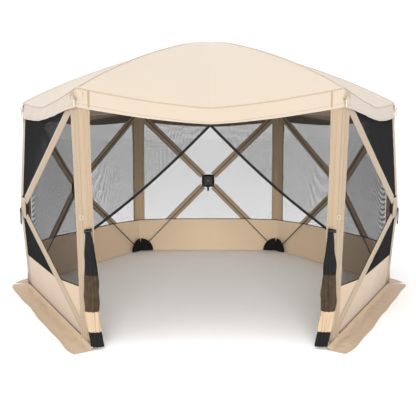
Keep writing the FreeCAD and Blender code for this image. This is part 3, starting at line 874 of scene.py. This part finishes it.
# ------------------------------------------------------------------ door
def build_door(name, hand):
    """One netting leaf, drawn up to its tie like a curtain and gathered below it."""
    top, low = eave_corner(name), base_corner(name)
    inward = tangent(DOOR) * -hand
    out = radial(DOOR)

    def beside(height, x):
        share = (height - low.z) / (top.z - low.z)
        return low.lerp(top, share) + inward * x

    tie = beside(TIE_HEIGHT, 0.055)
    apex_height = EAVE_HEIGHT - EAVE_SAG - 0.10
    apex = out * (APOTHEM - 0.004) + UP * apex_height - inward * 0.003
    shoulder = beside(EAVE_HEIGHT - 0.10, 0.05)
    label = "left" if hand < 0 else "right"
    # the hem sags a little below the straight line from the apex to the tie
    count = 9
    hem = []
    for k in range(count + 1):
        s = k / count
        swell = math.sin(math.pi * s)
        hem.append(apex.lerp(tie, s) - UP * (0.030 * swell) + out * (0.010 * swell))
    bunch = (radial(CORNERS[name]), (0, 0, 0), DOOR_KEEP)
    slices = []
    for k in range(count):
        upper_a = apex.lerp(shoulder, k / count)
        upper_b = apex.lerp(shoulder, (k + 1) / count)
        outline = [upper_a, upper_b, hem[k + 1], hem[k]] if k else [apex, upper_b, hem[1]]
        outline = outline if hand < 0 else outline[::-1]
        slices.append(outline)
    for k in range(3):
        part = slices[3 * k:3 * k + 3]
        middle = sum((p for o in part for p in o), Vector()) / sum(len(o) for o in part)
        way = Vector((middle.x, middle.y, 0)).normalized()
        area = sum(outline_area(o) for o in part)
        netting("door_net_%s_%d" % (label, k), part,
                "shell", "door_net_" + label,
                (way, (0, 0, 0), DOOR_KEEP), lift=-0.004)
        build_hem("door_hem_%s_%d" % (label, k), hem[3 * k:3 * k + 4], (way, (0, 0, 0), DOOR_KEEP))
    build_gather(label, hand, beside, inward, out, bunch)
    build_tie(label, hand, tie, inward, out, bunch)


def build_hem(name, points, bunch):
    """The black bound edge of a door leaf."""
    hem = Cloth(name, [BLACK])
    rows, uvs = [], []
    wide = 0.018
    out = radial(DOOR)
    length = 0.0
    for k, point in enumerate(points):
        along = (points[min(k + 1, len(points) - 1)] - points[max(k - 1, 0)]).normalized()
        across = along.cross(out).normalized()
        length += (point - points[k - 1]).length if k else 0
        rows.append([point + across * (wide / 2 * s) + out * (0.004 - 0.002 * abs(s))
                     for s in (-1, -0.4, 0.4, 1)])
        uvs.append([(s * wide / 2, length) for s in (-1, -0.4, 0.4, 1)])
    hem.grid(rows, wide * length, uvs)
    hem.make((wide, length), "shell", None, bunch)


def build_gather(label, hand, beside, inward, out, bunch):
    """The leaf below its tie: a slim bunch of netting, then band cloth, that spills forward at the ground."""
    levels, around, pleats = 90, 72, 9
    top, bottom = TIE_HEIGHT + 0.012, 0.020
    gathered = Cloth("door_gather_" + label, [BLACK, NET_OVER_TAN, BAND_OUTSIDE])
    rows, uvs = [], []
    for j in range(levels + 1):
        v = j / levels
        height = top - (top - bottom) * v
        low = max(0, (0.30 - height) / 0.30)
        width = 0.016 + 0.026 * math.sin(math.pi / 2 * min(1, v * 1.7)) - 0.006 * low
        depth = width * 0.50
        sway = 0.006 * math.sin(v * 6 + hand)
        centre = beside(height, 0.036 + 0.010 * v + 0.050 * low * low + sway)
        centre += out * (0.028 + 0.095 * low * low)
        row, uv = [], []
        for i in range(around + 1):
            turn = 2 * math.pi * (i % around) / around
            lobe = math.sin(pleats * turn + 1.6 * math.sin(v * 4 + hand))
            crumple = noise.noise(Vector((math.cos(turn) * 1.4, math.sin(turn) * 1.4, v * 7 + hand * 5)))
            reach = 1 + 0.26 * lobe * min(1, 0.3 + 2 * v) + 0.34 * crumple
            row.append(centre + inward * (math.cos(turn) * width * reach)
                       + out * (math.sin(turn) * depth * reach))
            uv.append((i * 0.004, v * 0.8))
        rows.append(row)
        uvs.append(uv)
    for j in range(levels):
        height = top - (top - bottom) * (j + 0.5) / levels
        kind = 0 if height > DOOR_BAND else 1 if height > 0.24 else 2 if height > FOOT_PATCH else 0
        gathered.grid(rows[j:j + 2], 0.0, uvs[j:j + 2], kind, flip=hand > 0)
    gathered.area = 0.30 * 0.80
    gathered.make((0.32, 0.80), "shell", "door_net_" + label, bunch)


def build_tie(label, hand, tie, inward, out, bunch):
    """The tie-back: a webbing loop round the gathered leaf."""
    loop = Cloth("door_tie_" + label, [BLACK])
    rows, uvs = [], []
    for j in range(5):
        v = j / 4
        row, uv = [], []
        for i in range(25):
            turn = 2 * math.pi * (i % 24) / 24
            point = tie + inward * (math.cos(turn) * 0.026 - 0.024) + out * (0.022 + math.sin(turn) * 0.017)
            row.append(point + UP * (v - 0.5) * 0.022 + UP * 0.006 * math.cos(turn))
            uv.append((i * 0.006, v * 0.022))
        rows.append(row)
        uvs.append(uv)
    loop.grid(rows, 0.022 * 0.135, uvs, flip=hand > 0)
    loop.make((0.022, 0.14), "shell", None, bunch)


# ------------------------------------------------------------------ hub patches and pull straps
STRAP_WIDTH = 0.024


def build_hub_patch(wall, angle):
    """The cloth square over a wall hub, outside, with its black pull strap."""
    apex = wall_apex(angle)
    patch = Cloth("hub_patch_" + wall, [STRIP, BLACK])
    for facet in wall_facets(angle).values():
        a, b = facet[0], facet[2]
        reach_a = apex + (a - apex).normalized() * HUB_PATCH
        reach_b = apex + (b - apex).normalized() * HUB_PATCH
        patch.patch([reach_a, apex, apex.lerp(reach_b, 0.01), reach_b], 8, 8, None, lift=0.0075)
    patch.make((0.17, 0.17), "wall_hub_" + wall, None, inner=1)
    strap = Cloth("pull_strap_" + wall, [BLACK])
    out, side = radial(angle), tangent(angle)
    rows, uvs = [], []
    for j in range(33):
        v = j / 32
        turn = math.pi * 2 * v
        hang = 0.068 * (1 - math.cos(turn))
        bulge = 0.004 * math.sin(turn)
        row = []
        for s in (-0.5, 0, 0.5):
            row.append(apex + out * (0.010 + bulge) - UP * hang + side * (s * STRAP_WIDTH))
        rows.append(row)
        uvs.append([(s * STRAP_WIDTH, v * 0.24) for s in (-0.5, 0, 0.5)])
    strap.grid(rows, STRAP_WIDTH * 0.270, uvs)
    strap.make((STRAP_WIDTH, 0.275), "wall_hub_" + wall,
               None, thickness=0.0016)


# ------------------------------------------------------------------ toggles and rings
def build_toggle(name, centre, upright):
    """A turned barrel toggle: a rounded cylinder with a waist for its cord."""
    bpy.ops.object.select_all(action="DESELECT")
    bpy.ops.mesh.primitive_cylinder_add(vertices=24, radius=0.0055, depth=0.042, location=centre,
                                        rotation=(0, 0, 0) if upright else (0, math.pi / 2, 0))
    made = bpy.context.active_object
    made.name = name
    bpy.ops.object.transform_apply(location=True, rotation=True, scale=True)
    bpy.ops.object.mode_set(mode="EDIT")
    bpy.ops.mesh.select_all(action="SELECT")
    axis = Vector((0, 0, 1)) if upright else Vector((1, 0, 0))
    for offset in (-0.004, 0.004):
        at = Vector(centre) + axis * offset
        bpy.ops.mesh.bisect(plane_co=at, plane_no=axis)
        bpy.ops.mesh.select_all(action="SELECT")
    bpy.ops.object.mode_set(mode="OBJECT")
    for vertex in made.data.vertices:
        along = (vertex.co - Vector(centre)).dot(axis)
        if abs(along) < 0.0045:
            spoke = vertex.co - Vector(centre) - axis * along
            vertex.co = Vector(centre) + axis * along + spoke * 0.72
    bevel = made.modifiers.new("rounding", "BEVEL")
    bevel.width = 0.0016
    bevel.segments = 3
    bevel.limit_method = "ANGLE"
    apply(made, bevel)
    bpy.ops.object.shade_smooth_by_angle(angle=math.radians(50))
    made.data.materials.append(IVORY)
    return made


def build_toggles():
    for name, angle in CORNERS.items():
        at = eave_corner(name) + radial(angle) * (0.012 + 0.020 + 0.006)
        at.z = 1.690 - 0.021
        toggle = build_toggle("guy_toggle_" + name, at, True)
        ride(toggle, "shell", "toggles", (radial(angle), (0, 0, 0), POST_KEEP))
        loop = Cloth("guy_loop_" + name, [STRIP])
        rows, uvs = [], []
        side = tangent(angle)
        for j in range(13):
            v = j / 12
            middle = at + UP * (0.055 - 0.035 * math.sin(math.pi * v)) - radial(angle) * (0.036 * v - 0.004)
            rows.append([middle + side * s for s in (-0.008, 0, 0.008)])
            uvs.append([(s, v * 0.08) for s in (-0.008, 0, 0.008)])
        loop.grid(rows, 0.016 * 0.085, uvs)
        loop.make((0.016, 0.085), "shell", None,
                  (radial(angle), (0, 0, 0), POST_KEEP))
    for name, hand in (("front_left", -1), ("front_right", 1)):
        low_corner, top = base_corner(name), eave_corner(name)
        share = (TIE_HEIGHT - low_corner.z) / (top.z - low_corner.z)
        at = low_corner.lerp(top, share) + radial(DOOR) * 0.046 + tangent(DOOR) * (-hand * 0.036)
        toggle = build_toggle("tie_toggle_" + name, at, False)
        toggle.data.materials[0] = HUB
        ride(toggle, "shell", "toggles", (radial(CORNERS[name]), (0, 0, 0), DOOR_KEEP))


def dress_cad_nodes():
    finishes = {"pole_": POLE, "roof_pole_": POLE, "wall_hub_pins": STEEL, "roof_hub_pins": STEEL,
                "wall_hub_": HUB, "roof_hub": HUB, "strap_bar": STEEL,
                "roof_pull_strap": BLACK, "door_rings": IVORY}
    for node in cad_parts:
        made = bpy.data.objects.get(node)
        if made is None:
            continue
        for start, finish in finishes.items():
            if node.startswith(start):
                for slot in made.material_slots:
                    slot.material = finish
                break


# ------------------------------------------------------------------ stage
CAMERA_LENS, CAMERA_PLACE, CAMERA_DOWN, CAMERA_TURN = 44.6, (-0.029, -4.992, 1.447), 7.81, -0.23
FLOOR_SIZE, SKY_STRENGTH = 600, 1.08


def build_stage():
    """A pale floor, soft light from above and in front, and the camera."""
    bpy.ops.object.select_all(action="DESELECT")
    bpy.ops.mesh.primitive_plane_add(size=FLOOR_SIZE, location=(0, 0, 0))
    floor = bpy.context.active_object
    floor.name = "floor"
    finish = Finish("floor_paint", (0.93, 0.93, 0.93), 0.95, Specular_IOR_Level=0.0)
    finish.set("Base Color", finish.blend(finish.cloud(3.0), (0.925, 0.925, 0.925), (0.935, 0.935, 0.935)))
    floor.data.materials.append(finish.material)
    world = bpy.data.worlds.new("studio")
    world.use_nodes = True
    world.node_tree.nodes["Background"].inputs[0].default_value = (1.0, 1.0, 1.0, 1)
    world.node_tree.nodes["Background"].inputs[1].default_value = SKY_STRENGTH
    bpy.context.scene.world = world
    for label, place, aim, size, power in (("overhead", (-1.5, -2.0, 9.0), (0, 0, 1), 5.0, 270),
                                           ("front", (0.0, -9.5, 2.2), (0, 0, 0.8), 5.0, 780)):
        lamp = bpy.data.lights.new(label, "AREA")
        lamp.size = size
        lamp.energy = power
        holder = bpy.data.objects.new(label, lamp)
        holder.location = place
        holder.rotation_euler = (Vector(aim) - Vector(place)).to_track_quat("-Z", "Y").to_euler()
        bpy.context.collection.objects.link(holder)
    camera = bpy.data.cameras.new("camera")
    camera.lens = CAMERA_LENS
    camera.sensor_width = 36
    holder = bpy.data.objects.new("camera", camera)
    holder.location = CAMERA_PLACE
    holder.rotation_euler = (math.radians(90 - CAMERA_DOWN), 0, math.radians(CAMERA_TURN))
    bpy.context.collection.objects.link(holder)
    bpy.context.scene.camera = holder
    bpy.context.scene.view_settings.view_transform = "Standard"


build_stage()
for side_name, side_angle in ALL_SIDES.items():
    for side_hand in (-1, 1):
        build_half_roof(side_name, side_angle, side_hand)
for corner_name, corner_angle in CORNERS.items():
    build_roof_seam(corner_name, corner_angle)
    build_corner_strip(corner_name, corner_angle)
for wall_name, wall_angle in WALLS.items():
    build_net_wall(wall_name, wall_angle)
    build_hub_patch(wall_name, wall_angle)
build_door("front_left", -1)
build_door("front_right", 1)
build_toggles()
dress_cad_nodes()
